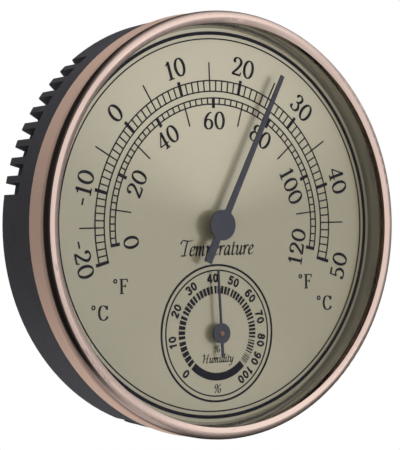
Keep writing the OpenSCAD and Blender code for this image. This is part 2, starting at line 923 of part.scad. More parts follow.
module frame_screws() {
    color([0.72, 0.72, 0.7])
    stand_up()
    for (side = [-1, 1]) {
        translate([side * temperature_ear_x, 0, 0]) frame_screw(temperature_frame_z);
        at_humidity() translate([side * humidity_ear_x, 0, 0]) frame_screw(humidity_frame_z);
    }
}

rear_case();
bezel();
lens();
spacer_ring();
dial_plate();
temperature_scale();
humidity_scale();
temperature_frame();
temperature_bushes();
temperature_coil();
temperature_stud();
temperature_arbor();
temperature_collet();
temperature_pointer();
temperature_pointer_boss();
humidity_frame();
humidity_bush();
adjuster_washer();
humidity_adjuster();
adjuster_arm();
humidity_coil();
humidity_stud();
humidity_arbor();
humidity_collet();
humidity_pointer();
humidity_pointer_boss();
frame_screws();
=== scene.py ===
"""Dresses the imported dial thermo-hygrometer: materials, printing, light and camera."""

import json
import math

import bmesh
import bpy
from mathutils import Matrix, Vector


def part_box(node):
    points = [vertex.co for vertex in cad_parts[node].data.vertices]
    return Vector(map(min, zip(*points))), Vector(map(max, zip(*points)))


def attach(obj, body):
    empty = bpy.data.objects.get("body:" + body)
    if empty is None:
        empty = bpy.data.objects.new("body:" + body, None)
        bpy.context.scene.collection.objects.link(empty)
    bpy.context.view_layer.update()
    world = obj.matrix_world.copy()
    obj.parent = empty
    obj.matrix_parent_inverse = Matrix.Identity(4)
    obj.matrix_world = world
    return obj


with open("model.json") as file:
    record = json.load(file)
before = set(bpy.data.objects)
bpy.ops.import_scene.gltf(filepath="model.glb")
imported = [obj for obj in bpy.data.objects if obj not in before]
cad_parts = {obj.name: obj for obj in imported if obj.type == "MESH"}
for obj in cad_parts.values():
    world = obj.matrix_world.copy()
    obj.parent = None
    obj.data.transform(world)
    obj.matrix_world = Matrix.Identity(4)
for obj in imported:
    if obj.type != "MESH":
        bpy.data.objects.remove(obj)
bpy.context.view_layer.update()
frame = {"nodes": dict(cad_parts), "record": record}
nodes = frame["nodes"]
scene = bpy.context.scene

MM = 0.001

# The dial's front face, the thickness of its ink and the height of the humidity dial's axis
DIAL_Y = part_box("dial_plate")[0].y
INK_T = DIAL_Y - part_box("temperature_scale")[0].y
HUMIDITY_Z = (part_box("humidity_scale")[0].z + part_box("humidity_scale")[1].z) / 2

# A noise texture lies mostly between these two values
NOISE_LOW = 0.3
NOISE_HIGH = 0.7

# How far the noise of rings moves in a radian round the axis, far less than the real arc
RING_STRETCH = 0.00035


def linear(r, g, b):
    """A colour written in 0-255 as it looks on screen, taken off the sRGB curve for a socket."""
    def one(v):
        v = v / 255
        return v / 12.92 if v <= 0.04045 else ((v + 0.055) / 1.055) ** 2.4
    return (one(r), one(g), one(b), 1.0)


# Materials

class Look:
    """A node material under construction, with object coordinates at hand."""

    def __init__(self, name):
        self.mat = bpy.data.materials.new(name)
        self.mat.use_nodes = True
        self.tree = self.mat.node_tree
        self.tree.nodes.clear()
        self.out = self.tree.nodes.new("ShaderNodeOutputMaterial")
        self.bsdf = self.tree.nodes.new("ShaderNodeBsdfPrincipled")
        self.link(self.bsdf.outputs["BSDF"], self.out.inputs["Surface"])
        self.place = self.tree.nodes.new("ShaderNodeTexCoord").outputs["Object"]

    def link(self, a, b):
        self.tree.links.new(a, b)

    def put(self, socket, value):
        """Sets a socket to a number or colour, or links another node's output to it."""
        if isinstance(value, bpy.types.NodeSocket):
            self.link(value, socket)
        else:
            socket.default_value = value

    def set(self, **values):
        """Sets inputs of the main shader, with _ for each space in an input's name."""
        for name, value in values.items():
            self.put(self.bsdf.inputs[name.replace("_", " ")], value)

    def math(self, op, a, b=0.0, clamp=False):
        n = self.tree.nodes.new("ShaderNodeMath")
        n.operation = op
        n.use_clamp = clamp
        self.put(n.inputs[0], a)
        self.put(n.inputs[1], b)
        return n.outputs[0]

    def span(self, value, low, high, to_low=0.0, to_high=1.0, smooth=True):
        """Maps low to high onto to_low to to_high, level beyond both ends."""
        n = self.tree.nodes.new("ShaderNodeMapRange")
        n.interpolation_type = "SMOOTHSTEP" if smooth else "LINEAR"
        self.put(n.inputs["Value"], value)
        self.put(n.inputs["From Min"], low)
        self.put(n.inputs["From Max"], high)
        self.put(n.inputs["To Min"], to_low)
        self.put(n.inputs["To Max"], to_high)
        return n.outputs[0]

    def over(self, noise, low, high, smooth=True):
        """Spreads a noise over a range of values."""
        return self.span(noise, NOISE_LOW, NOISE_HIGH, low, high, smooth)

    def slope(self, value, stops):
        """Straight pieces through the given (value, result) pairs, level beyond both ends."""
        result = stops[0][1]
        for (low, a), (high, b) in zip(stops, stops[1:]):
            result = self.math("ADD", result, self.span(value, low, high, 0.0, b - a, False))
        return result

    def axes(self):
        n = self.tree.nodes.new("ShaderNodeSeparateXYZ")
        self.link(self.place, n.inputs[0])
        return n.outputs

    def vector(self, x, y, z):
        n = self.tree.nodes.new("ShaderNodeCombineXYZ")
        for socket, value in zip(n.inputs, (x, y, z)):
            self.put(socket, value)
        return n.outputs[0]

    def noise(self, scale, detail=2.0, rough=0.5, where=None):
        n = self.tree.nodes.new("ShaderNodeTexNoise")
        self.link(self.place if where is None else where, n.inputs["Vector"])
        n.inputs["Scale"].default_value = scale
        n.inputs["Detail"].default_value = detail
        n.inputs["Roughness"].default_value = rough
        return n.outputs["Fac"]

    def mix(self, fac, a, b):
        """Goes from colour a to colour b as fac goes from 0 to 1."""
        n = self.tree.nodes.new("ShaderNodeMix")
        n.data_type = "RGBA"
        # The sockets of a colour mix: its factor, A and B
        self.put(n.inputs[0], fac)
        self.put(n.inputs[6], a)
        self.put(n.inputs[7], b)
        return n.outputs[2]

    def bump(self, height, strength, distance=0.0001):
        n = self.tree.nodes.new("ShaderNodeBump")
        self.link(height, n.inputs["Height"])
        n.inputs["Strength"].default_value = strength
        n.inputs["Distance"].default_value = distance
        self.link(n.outputs[0], self.bsdf.inputs["Normal"])

    def radius(self):
        """Distance from the dial's axis."""
        x, _, z = self.axes()
        across = self.math("MULTIPLY", x, x)
        return self.math("SQRT", self.math("ADD", across, self.math("MULTIPLY", z, z)))

    def rings(self, scale, detail=3.0):
        """Noise drawn out round the dial's axis, as left by turning or brushing in circles."""
        x, y, z = self.axes()
        angle = self.math("ARCTAN2", x, z)
        where = self.vector(self.radius(), self.math("MULTIPLY", angle, RING_STRETCH), y)
        return self.noise(scale, detail, rough=0.6, where=where)


def speckled(name, dark, light, scale, roughness, metallic, grain, level=0.5):
    """A plain finish with fine grain in its colour, its gloss and its surface."""
    spread = 0.08
    look = Look(name)
    grains = look.noise(scale, detail=3.0, rough=0.6)
    look.set(
        Base_Color=look.mix(grains, dark, light),
        Roughness=look.over(grains, roughness - spread, roughness + spread),
        Metallic=metallic,
        Specular_IOR_Level=level,
    )
    look.bump(grains, grain)
    return look.mat


def turned(name, dark, light, scale, roughness, metallic=1.0):
    """A metal finish with fine rings round the dial's axis."""
    spread = 0.05
    look = Look(name)
    rings = look.rings(scale)
    look.set(
        Base_Color=look.mix(rings, dark, light),
        Roughness=look.over(rings, roughness - spread, roughness + spread),
        Metallic=metallic,
    )
    look.bump(rings, strength=0.15)
    return look.mat


def case_look():
    """Black moulded plastic, finely grained, with faint clouds in its colour."""
    look = Look("case_plastic_look")
    grain = look.noise(scale=2600.0, detail=2.0, rough=0.6)
    cloud = look.noise(scale=60.0, detail=3.0, rough=0.5)
    look.set(
        Base_Color=look.mix(cloud, linear(47, 46, 51), linear(61, 60, 65)),
        Roughness=look.over(grain, 0.5, 0.7),
        Metallic=0.0,
    )
    look.bump(grain, strength=0.55, distance=0.00015)
    return look.mat


# In metres: the crease between the bezel's bead and its band, the radius and the front edge of
# its inner lip, and how far the painted shade on the lip takes to fade
BEAD_REAR_Y = -0.01915
BAND_FRONT_Y = -0.01885
LIP_R = 0.0481
LIP_FRONT_Y = -0.02215
LIP_SHADE_FADE = 0.0001
# How much of the bead's metal look the satin band lacks
BAND_DULLNESS = 0.62


def bezel_look():
    """Rose copper: polished on the bead, satin and finely ringed on the band, painted shade on
    the lip.
    """
    look = Look("copper_plate_look")
    _, y, _ = look.axes()
    satin = look.span(y, BEAD_REAR_Y, BAND_FRONT_Y)
    rings = look.rings(9000.0)
    cloud = look.noise(scale=90.0, detail=3.0, rough=0.5)
    bead = look.mix(cloud, linear(235, 208, 196), linear(243, 217, 206))
    band = look.mix(rings, linear(190, 158, 141), linear(206, 176, 159))
    rough = look.math("MULTIPLY", satin, look.over(rings, 0.3, 0.4))
    rough = look.math("ADD", rough, look.over(cloud, 0.1, 0.15))
    inside = look.span(look.radius(), LIP_R + LIP_SHADE_FADE, LIP_R + 3 * LIP_SHADE_FADE, 1.0, 0.0)
    # Painted shade: the inner wall of the lip gets a darker copper colour
    lip_shade = look.math("MULTIPLY", inside, look.span(y, LIP_FRONT_Y - LIP_SHADE_FADE, LIP_FRONT_Y))
    look.set(
        Base_Color=look.mix(lip_shade, look.mix(satin, bead, band), linear(118, 94, 84)),
        Roughness=rough,
        Metallic=look.math("SUBTRACT", 1.0, look.math("MULTIPLY", satin, BAND_DULLNESS)),
    )
    look.bump(rings, strength=0.05, distance=0.00004)
    return look.mat


def lens_look():
    """Clear glass: hardly seen from the front, a bright reflection at a low angle."""
    look = Look("lens_glass_look")
    weight = look.tree.nodes.new("ShaderNodeLayerWeight")
    weight.inputs["Blend"].default_value = 0.5
    smear = look.noise(scale=120.0, detail=3.0, rough=0.6)
    look.set(
        Base_Color=look.mix(smear, linear(236, 240, 240), linear(246, 248, 248)),
        Roughness=look.over(smear, 0.015, 0.04),
        Metallic=1.0,
        Alpha=look.span(weight.outputs["Facing"], 0.3, 1.0, to_low=0.004, to_high=0.45),
    )
    look.mat.surface_render_method = "BLENDED"
    return look.mat


# Added to the radius on the dial, so that the painted fan of highlight is soft at the axis
PAINTED_FAN_SOFT_R = 0.004


def dial_look():
    """Champagne aluminium brushed in circles, with a soft fan of painted highlight in its colour.
    """
    look = Look("dial_metal_look")
    _, _, z = look.axes()
    rings = look.rings(7000.0, detail=4.0)
    fine = look.rings(26000.0, detail=2.0)
    # Painted highlight: the base colour is lighter in a fan above the axis and a little lighter
    # below it
    up = look.math("DIVIDE", z, look.math("ADD", look.radius(), PAINTED_FAN_SOFT_R))
    fan_top_highlight = look.span(up, 0.05, 0.95)
    fan_bottom_highlight = look.span(up, -0.55, -1.0, to_low=0.0, to_high=0.25)
    painted_fan_highlight = look.math("ADD", fan_top_highlight, fan_bottom_highlight, clamp=True)
    fine_share = look.math("MULTIPLY", fine, 0.4)
    streak = look.math("ADD", look.math("MULTIPLY", rings, 0.6), fine_share)
    painted_fan_and_streaks = look.math("ADD", painted_fan_highlight, look.over(streak, -0.12, 0.12, smooth=False), clamp=True)
    look.set(
        Base_Color=look.mix(painted_fan_and_streaks, linear(152, 145, 117), linear(193, 185, 158)),
        Roughness=look.over(streak, 0.4, 0.52),
        Metallic=0.3,
        Coat_Weight=1.0,
        Coat_IOR=2.0,
        Coat_Roughness=0.16,
    )
    look.bump(streak, strength=0.06, distance=0.00003)
    return look.mat


def spacer_look():
    """Bright pressed metal, which mirrors the edge of the dial."""
    look = Look("spacer_metal_look")
    rings = look.rings(5000.0)
    look.set(
        Base_Color=look.mix(rings, linear(146, 140, 128), linear(160, 154, 142)),
        Roughness=look.over(rings, 0.04, 0.09),
        Metallic=0.6,
    )
    look.bump(rings, strength=0.03, distance=0.00002)
    return look.mat


INK = speckled(
    "dial_ink_look", linear(24, 23, 31), linear(31, 29, 38),
    scale=5000.0, roughness=0.55, metallic=0.0, grain=0.05, level=0.12)
looks = {
    "case_plastic": case_look(),
    "copper_plate": bezel_look(),
    "lens_glass": lens_look(),
    "spacer_metal": spacer_look(),
    "dial_metal": dial_look(),
    "dial_ink": INK,
    "frame_steel": speckled(
        "frame_steel_look", linear(168, 168, 164), linear(190, 190, 186),
        scale=900.0, roughness=0.38, metallic=1.0, grain=0.1),
    "movement_brass": turned(
        "movement_brass_look", linear(176, 140, 74), linear(205, 172, 100),
        scale=6000.0, roughness=0.3),
    "bimetal": turned(
        "bimetal_look", linear(140, 116, 84), linear(165, 140, 104),
        scale=4000.0, roughness=0.35),
    "humidity_strip": turned(
        "humidity_strip_look", linear(158, 134, 92), linear(186, 160, 116),
        scale=4000.0, roughness=0.45, metallic=0.7),
    "arbor_steel": turned(
        "arbor_steel_look", linear(182, 182, 186), linear(205, 205, 208),
        scale=8000.0, roughness=0.22),
    "arbor_copper": turned(
        "arbor_copper_look", linear(136, 100, 91), linear(158, 120, 110),
        scale=8000.0, roughness=0.34),
    "screw_steel": speckled(
        "screw_steel_look", linear(172, 172, 170), linear(196, 196, 194),
        scale=1500.0, roughness=0.3, metallic=1.0, grain=0.05),
    "pointer_paint": speckled(
        "pointer_paint_look", linear(50, 50, 62), linear(60, 60, 72),
        scale=3000.0, roughness=0.42, metallic=0.15, grain=0.015),
}
for part in frame["record"]["subparts"]:
    mesh = nodes[part["node"]].data
    mesh.materials.clear()
    mesh.materials.append(looks[part["material_slot"]])


# Printing: letters are pen strokes, with x to the right, y up and the baseline at 0. A numeral
# is 1 high, and so is the small x of the italic.

def ellipse(cx, cy, rx, ry, count=40):
    """Points once round an ellipse."""
    angles = [math.radians(360.0 * i / count) for i in range(count)]
    return [(cx + rx * math.cos(a), cy - ry * math.sin(a)) for a in angles]


def smooth(points, steps=8):
    """Points of a Catmull-Rom curve through the given ones."""
    ends = [points[0]] + list(points) + [points[-1]]
    out = []
    for p0, p1, p2, p3 in zip(ends, ends[1:], ends[2:], ends[3:]):
        for i in range(steps):
            t = i / steps
            out.append(tuple(
                0.5 * (2 * b + (c - a) * t + (2 * a - 5 * b + 4 * c - d) * t * t
                       + (3 * b - a - 3 * c + d) * t ** 3)
                for a, b, c, d in zip(p0, p1, p2, p3)))
    return out + [tuple(points[-1])]


class Stroke:
    """One pen stroke, as wide as the face makes it unless it has a width of its own."""

    def __init__(self, points, width, closed=False):
        self.points = points
        self.width = width
        self.closed = closed


def ring(cx, cy, rx, ry, width=None):
    return Stroke(ellipse(cx, cy, rx, ry), width, closed=True)


def line(*points, width=None):
    return Stroke(points, width)


def curve(*points, width=None):
    return Stroke(smooth(points), width)


def dot(cx, cy, r):
    """A filled spot: a ring whose width reaches its middle."""
    return Stroke(ellipse(cx, cy, r / 2, r / 2, count=20), r * 0.99, closed=True)


# The width of a serif. Each letter has its advance and its strokes.
HAIR = 0.068
SERIF = {
    "0": (0.69, [ring(0.345, 0.5, 0.275, 0.465)]),
    "1": (0.5, [
        line((0.25, 0.02), (0.25, 0.97)),
        curve((0.06, 0.80), (0.17, 0.87), (0.25, 0.98), width=HAIR),
        line((0.06, 0.0275), (0.44, 0.0275), width=HAIR),
    ]),
    "2": (0.66, [
        curve(
            (0.09, 0.72), (0.12, 0.88), (0.30, 0.965), (0.49, 0.87), (0.54, 0.70), (0.42, 0.46),
            (0.07, 0.06),
        ),
        line((0.05, 0.055), (0.56, 0.055), width=0.11),
        line((0.575, 0.02), (0.61, 0.22), width=HAIR),
        dot(0.12, 0.73, 0.075),
    ]),
    "3": (0.64, [
        curve(
            (0.10, 0.78), (0.15, 0.90), (0.30, 0.965), (0.45, 0.88), (0.48, 0.74), (0.40, 0.58),
            (0.22, 0.52),
        ),
        curve(
            (0.22, 0.52), (0.42, 0.49), (0.54, 0.28), (0.46, 0.10), (0.28, 0.035), (0.12, 0.07),
            (0.07, 0.18),
        ),
        dot(0.11, 0.79, 0.065),
        dot(0.09, 0.18, 0.07),
    ]),
    "4": (0.68, [
        line((0.47, 0.98), (0.04, 0.30), width=HAIR),
        line((0.02, 0.285), (0.64, 0.285), width=0.07),
        line((0.46, 0.02), (0.46, 0.98)),
        line((0.30, 0.0275), (0.62, 0.0275), width=HAIR),
    ]),
    "5": (0.64, [
        line((0.13, 0.93), (0.50, 0.93), width=0.10),
        line((0.15, 0.95), (0.11, 0.52), width=HAIR),
        curve(
            (0.11, 0.52), (0.25, 0.60), (0.43, 0.56), (0.54, 0.33), (0.45, 0.11), (0.27, 0.035),
            (0.12, 0.07), (0.07, 0.16),
        ),
        dot(0.10, 0.17, 0.07),
    ]),
    "6": (0.68, [
        ring(0.345, 0.30, 0.24, 0.265),
        curve((0.55, 0.95), (0.36, 0.88), (0.16, 0.62), (0.105, 0.34)),
    ]),
    "8": (0.66, [ring(0.33, 0.755, 0.2, 0.21), ring(0.33, 0.285, 0.25, 0.25)]),
    "-": (0.5, [line((0.06, 0.40), (0.42, 0.40), width=0.09)]),
    "F": (0.78, [
        line((0.20, 0.02), (0.20, 0.98)),
        line((0.05, 0.97), (0.66, 0.97), width=HAIR),
        line((0.05, 0.0275), (0.36, 0.0275), width=HAIR),
        line((0.20, 0.52), (0.50, 0.52), width=HAIR),
        line((0.655, 0.99), (0.67, 0.78), width=HAIR),
        line((0.50, 0.42), (0.50, 0.62), width=HAIR),
    ]),
    "C": (0.86, [
        curve(
            (0.76, 0.74), (0.64, 0.90), (0.45, 0.965), (0.24, 0.87), (0.13, 0.50), (0.24, 0.13),
            (0.47, 0.035), (0.66, 0.10), (0.78, 0.26),
        ),
        line((0.77, 0.98), (0.77, 0.70), width=HAIR),
    ]),
    "o": (0.36, [ring(0.14, 0.86, 0.115, 0.115, width=0.085)]),
}
BOLD = {
    "0": (0.62, [ring(0.31, 0.5, 0.2, 0.4)]),
    "1": (0.5, [line((0.30, 0.0), (0.30, 1.0)), line((0.30, 0.88), (0.08, 0.70))]),
    "2": (0.6, [
        curve(
            (0.11, 0.68), (0.15, 0.86), (0.31, 0.915), (0.47, 0.84), (0.48, 0.64), (0.34, 0.42),
            (0.10, 0.10),
        ),
        line((0.05, 0.085), (0.57, 0.085)),
    ]),
    "3": (0.6, [
        curve(
            (0.10, 0.74), (0.16, 0.87), (0.30, 0.915), (0.45, 0.84), (0.46, 0.64), (0.38, 0.54),
            (0.24, 0.53),
        ),
        curve(
            (0.24, 0.53), (0.42, 0.50), (0.49, 0.34), (0.45, 0.14), (0.29, 0.085), (0.14, 0.13),
            (0.09, 0.27),
        ),
    ]),
    "4": (0.62, [
        line((0.40, 0.92), (0.07, 0.34)),
        line((0.03, 0.29), (0.60, 0.29)),
        line((0.42, 0.0), (0.42, 1.0)),
    ]),
    "5": (0.6, [
        line((0.14, 0.915), (0.54, 0.915)),
        line((0.19, 0.95), (0.13, 0.52)),
        curve(
            (0.13, 0.50), (0.30, 0.60), (0.45, 0.53), (0.49, 0.33), (0.43, 0.14), (0.28, 0.085),
            (0.14, 0.13), (0.09, 0.25),
        ),
    ]),
    "6": (0.62, [
        ring(0.31, 0.315, 0.19, 0.235),
        curve((0.50, 0.80), (0.42, 0.90), (0.28, 0.90), (0.16, 0.74), (0.12, 0.40)),
    ]),
    "7": (0.6, [
        line((0.06, 0.915), (0.56, 0.915)),
        curve((0.50, 0.90), (0.34, 0.58), (0.24, 0.0)),
    ]),
    "8": (0.6, [ring(0.30, 0.73, 0.165, 0.19), ring(0.30, 0.30, 0.19, 0.22)]),
    "9": (0.62, [
        ring(0.31, 0.685, 0.19, 0.235),
        curve((0.12, 0.20), (0.20, 0.10), (0.34, 0.10), (0.46, 0.26), (0.50, 0.60)),
    ]),
}
ITALIC = {
    "T": (1.0, [
        curve((0.0, 1.22), (0.0, 1.42), (0.14, 1.60), (0.5, 1.54), (0.98, 1.52), (1.22, 1.64)),
        curve((0.62, 1.52), (0.56, 0.8), (0.52, 0.25), (0.42, 0.03)),
        curve((0.16, 0.06), (0.42, 0.02), (0.72, 0.08)),
    ]),
    "H": (1.38, [
        curve((0.02, 1.26), (0.04, 1.50), (0.22, 1.60), (0.38, 1.52)),
        curve((0.36, 1.54), (0.32, 0.9), (0.28, 0.2), (0.10, 0.0)),
        curve((1.20, 1.62), (1.02, 1.50), (0.96, 0.9), (0.92, 0.15), (1.08, 0.02), (1.24, 0.12)),
        curve((0.18, 0.76), (0.6, 0.84), (1.02, 0.82)),
    ]),
    "e": (0.60, [
        curve(
            (0.08, 0.46), (0.34, 0.58), (0.47, 0.80), (0.34, 0.98), (0.12, 0.72), (0.08, 0.28),
            (0.24, 0.03), (0.54, 0.20),
        ),
    ]),
    "m": (1.12, [
        curve((-0.04, 0.80), (0.08, 0.98), (0.12, 0.6), (0.11, 0.0)),
        curve((0.12, 0.45), (0.28, 0.88), (0.42, 0.94), (0.46, 0.6), (0.45, 0.0)),
        curve(
            (0.46, 0.45), (0.62, 0.88), (0.77, 0.94), (0.80, 0.6), (0.80, 0.14), (0.90, 0.02),
            (1.06, 0.18),
        ),
    ]),
    "p": (0.74, [
        curve((-0.04, 0.82), (0.08, 0.98), (0.12, 0.5), (0.08, -0.6)),
        curve((0.12, 0.5), (0.30, 0.92), (0.50, 0.92), (0.58, 0.55), (0.42, 0.08), (0.12, 0.10)),
    ]),
    "r": (0.52, [
        curve((-0.04, 0.80), (0.08, 0.98), (0.12, 0.6), (0.11, 0.0)),
        curve((0.12, 0.45), (0.26, 0.84), (0.38, 0.98), (0.50, 0.88)),
    ]),
    "a": (0.74, [
        curve(
            (0.52, 0.86), (0.34, 0.99), (0.12, 0.70), (0.08, 0.22), (0.22, 0.02), (0.40, 0.30),
            (0.52, 0.62),
        ),
        curve((0.54, 0.96), (0.52, 0.5), (0.50, 0.14), (0.58, 0.02), (0.74, 0.20)),
    ]),
    "t": (0.50, [
        curve((0.20, 1.34), (0.16, 0.8), (0.14, 0.16), (0.24, 0.02), (0.46, 0.20)),
        line((0.0, 0.92), (0.44, 0.92), width=0.07),
    ]),
    "u": (0.76, [
        curve(
            (-0.04, 0.80), (0.08, 0.98), (0.12, 0.6), (0.11, 0.16), (0.24, 0.02), (0.42, 0.26),
            (0.52, 0.62),
        ),
        curve((0.54, 0.96), (0.52, 0.5), (0.50, 0.14), (0.60, 0.02), (0.76, 0.20)),
    ]),
    "d": (0.76, [
        curve(
            (0.50, 0.88), (0.34, 0.99), (0.12, 0.70), (0.08, 0.22), (0.22, 0.02), (0.40, 0.30),
            (0.52, 0.62),
        ),
        curve((0.56, 1.62), (0.54, 0.9), (0.50, 0.14), (0.58, 0.02), (0.74, 0.20)),
    ]),
    "i": (0.38, [
        curve((-0.04, 0.80), (0.08, 0.98), (0.12, 0.6), (0.11, 0.14), (0.20, 0.02), (0.36, 0.20)),
        dot(0.16, 1.36, 0.08),
    ]),
    "y": (0.74, [
        curve(
            (-0.04, 0.80), (0.08, 0.98), (0.12, 0.6), (0.12, 0.16), (0.24, 0.02), (0.42, 0.26),
            (0.52, 0.62),
        ),
        curve((0.56, 0.96), (0.52, 0.3), (0.40, -0.36), (0.16, -0.62), (-0.06, -0.52)),
    ]),
    "%": (1.5, [
        ring(0.32, 1.12, 0.24, 0.34),
        ring(1.02, 0.36, 0.24, 0.34),
        curve((1.14, 1.52), (0.62, 0.8), (0.20, -0.08), width=0.09),
    ]),
}


class Face:
    """How a set of letters is drawn: stroke width by direction, slant and spacing."""

    def __init__(self, shapes, thick, thin, nib=0.0, slant=0.0, gap=0.08):
        self.shapes = shapes
        self.thick = thick
        self.thin = thin
        self.nib = math.radians(nib)
        self.slant = slant
        self.gap = gap

    def width(self, dx, dy):
        """Full width of a stroke that runs in this direction."""
        across = abs(math.sin(math.atan2(dy, dx) - self.nib))
        return self.thin + (self.thick - self.thin) * across ** 1.5

    def length(self, text):
        return sum(self.shapes[c][0] for c in text) + self.gap * (len(text) - 1)


NUMERAL = Face(SERIF, thick=0.158, thin=0.064)
PLAIN = Face(BOLD, thick=0.215, thin=0.215)
SCRIPT = Face(ITALIC, thick=0.2, thin=0.065, nib=28.0, slant=0.2, gap=0.03)

# Strokes in turn lie on a few levels, a small share of the ink's thickness apart, so that the
# faces of two strokes that cross never share a plane
INK_LEVELS = 7
INK_LEVEL_STEP = 0.02


class Print:
    """Collects strokes as thin closed prisms on the dial's face, as one mesh."""

    def __init__(self, name):
        self.name = name
        self.verts = []
        self.faces = []
        self.count = 0

    def stroke(self, points, widths, closed):
        """A strip along points given as (x, z) in metres on the dial."""
        n = len(points)
        base = len(self.verts)
        self.count += 1
        front = DIAL_Y - INK_T * (1.0 + INK_LEVEL_STEP * (self.count % INK_LEVELS))
        for i, (x, z) in enumerate(points):
            a = points[i - 1] if i or closed else points[0]
            b = points[(i + 1) % n] if i < n - 1 or closed else points[-1]
            d = Vector((b[0] - a[0], b[1] - a[1])).normalized()
            off = Vector((-d.y, d.x)) * widths[i] / 2
            for side, y in ((1, front), (-1, front), (-1, DIAL_Y), (1, DIAL_Y)):
                self.verts.append((x + side * off.x, y, z + side * off.y))
        last = n if closed else n - 1
        for i in range(last):
            p, q = base + 4 * i, base + 4 * ((i + 1) % n)
            for k in range(4):
                m = (k + 1) % 4
                self.faces.append((p + k, p + m, q + m, q + k))
        if not closed:
            self.faces.append((base + 3, base + 2, base + 1, base))
            end = base + 4 * (n - 1)
            self.faces.append((end, end + 1, end + 2, end + 3))

    def word(self, face, text, x, z, size, clock=0.0, centre=0.5, squeeze=1.0):
        """Writes text centred on a point of the dial, its top towards a clock angle."""
        a = math.radians(clock)
        along = (math.cos(a), -math.sin(a))
        up = (math.sin(a), math.cos(a))
        pen = -face.length(text) / 2
        for c in text:
            advance, strokes = face.shapes[c]
            for s in strokes:
                pts = [((pen + px) * squeeze + face.slant * (py - centre), py - centre)
                       for px, py in s.points]
                n = len(pts)
                widths = []
                for i in range(n):
                    if s.closed:
                        p, q = pts[i - 1], pts[(i + 1) % n]
                    else:
                        p, q = pts[max(i - 1, 0)], pts[min(i + 1, n - 1)]
                    width = s.width if s.width else face.width(q[0] - p[0], q[1] - p[1])
                    widths.append(width * size)
                self.stroke([(x + size * (u * along[0] + v * up[0]),
                              z + size * (u * along[1] + v * up[1])) for u, v in pts],
                            widths, s.closed)
            pen += advance + face.gap

    def build(self):
        mesh = bpy.data.meshes.new(self.name)
        mesh.from_pydata(self.verts, [], self.faces)
        mesh.validate()
        mesh.update()
        mesh.materials.append(INK)
        obj = bpy.data.objects.new(self.name, mesh)
        scene.collection.objects.link(obj)
        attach(obj, "case")


# Each number: text, middle in mm from the dial's axis, clock angle of its top
CELSIUS = [
    ("-20", -37.9, -7.2, 78.0), ("-10", -37.5, 9.2, -75.7),
    ("0", -28.4, 26.6, -46.6), ("10", -11.1, 37.2, -17.0),
    ("20", 8.9, 37.7, 13.1), ("30", 26.6, 28.2, 43.5),
    ("40", 37.6, 10.4, 74.2), ("50", 37.5, -10.7, -74.5),
]
FAHRENHEIT = [
    ("0", -24.5, -3.6, -98.0), ("20", -22.6, 10.1, -65.5),
    ("40", -13.6, 20.9, -32.8), ("60", 0.0, 25.0, -0.2),
    ("80", 13.8, 21.1, 32.7), ("100", 23.1, 9.1, 66.8),
    ("120", 24.5, -5.7, -78.0),
]
CELSIUS_SIZE = 4.5 * MM
FAHRENHEIT_SIZE = CELSIUS_SIZE * 0.96
for name, numbers, size in (("celsius_numbers", CELSIUS, CELSIUS_SIZE),
                            ("fahrenheit_numbers", FAHRENHEIT, FAHRENHEIT_SIZE)):
    scale_numbers = Print(name)
    for text, x, z, clock in numbers:
        scale_numbers.word(NUMERAL, text, x * MM, z * MM, size, clock)
    scale_numbers.build()

# Each unit, with a small o for the degree sign: text, middle and height in mm
UNITS = [
    ("oF", -27.5, -13.8, 3.5), ("oF", 27.1, -14.3, 3.5),
    ("oC", -33.5, -19.8, 3.6), ("oC", 32.9, -19.8, 3.6),
]
units = Print("unit_letters")
for text, x, z, size in UNITS:
    units.word(NUMERAL, text, x * MM, z * MM, size * MM)
units.build()

title = Print("temperature_title")
title.word(SCRIPT, "Temperature", 0.36 * MM, -6.07 * MM, 2.35 * MM, squeeze=1.16)
title.build()

# The clock angle of each ten per cent. The last number stands past its mark.
HUMIDITY_MARKS = (-134.8, -97.5, -64.3, -34.3, -5.0, 22.5, 49.2, 75.0, 99.7, 119.8, 142.0)
HUMIDITY_NUMBER_R = 13.2 * MM
HUMIDITY_NUMBER_SIZE = 2.15 * MM
humidity_numbers = Print("humidity_numbers")
for i, clock in enumerate(HUMIDITY_MARKS):
    a = math.radians(clock)
    humidity_numbers.word(
        PLAIN, str(10 * i), HUMIDITY_NUMBER_R * math.sin(a),
        HUMIDITY_Z + HUMIDITY_NUMBER_R * math.cos(a), HUMIDITY_NUMBER_SIZE, clock, squeeze=1.17)
humidity_numbers.build()
humidity_title = Print("humidity_title")
humidity_title.word(
    SCRIPT, "Humidity", 0.1 * MM, HUMIDITY_Z - 6.4 * MM, 1.28 * MM, squeeze=1.17)
# The per cent signs above and below the thick arc
humidity_title.word(
    SCRIPT, "%", 0.0, HUMIDITY_Z - 3.8 * MM, 1.15 * MM, centre=0.7, squeeze=1.1)
humidity_title.word(
    SCRIPT, "%", 0.0, HUMIDITY_Z - 13.3 * MM, 1.36 * MM, centre=0.7, squeeze=1.15)
humidity_title.build()


# Light, stage and camera

ORIGIN = (0.0, 0.0, 0.0)
WHITE = (1.0, 1.0, 1.0, 1.0)
KEY_TURN = math.radians(27.0)
KEY_FAR = 0.6
KEY_RISE = 0.02


def lamp(name, at, target, width, power):
    """A square lamp that lights the object but isn't seen, nor mirrored in it."""
    data = bpy.data.lights.new(name, "AREA")
    data.shape = "RECTANGLE"
    data.size = width
    data.size_y = width
    data.energy = power
    obj = bpy.data.objects.new(name, data)
    scene.collection.objects.link(obj)
    obj.visible_glossy = False
    obj.visible_camera = False
    obj.location = at
    obj.rotation_euler = (Vector(target) - Vector(at)).to_track_quat("-Z", "Y").to_euler()


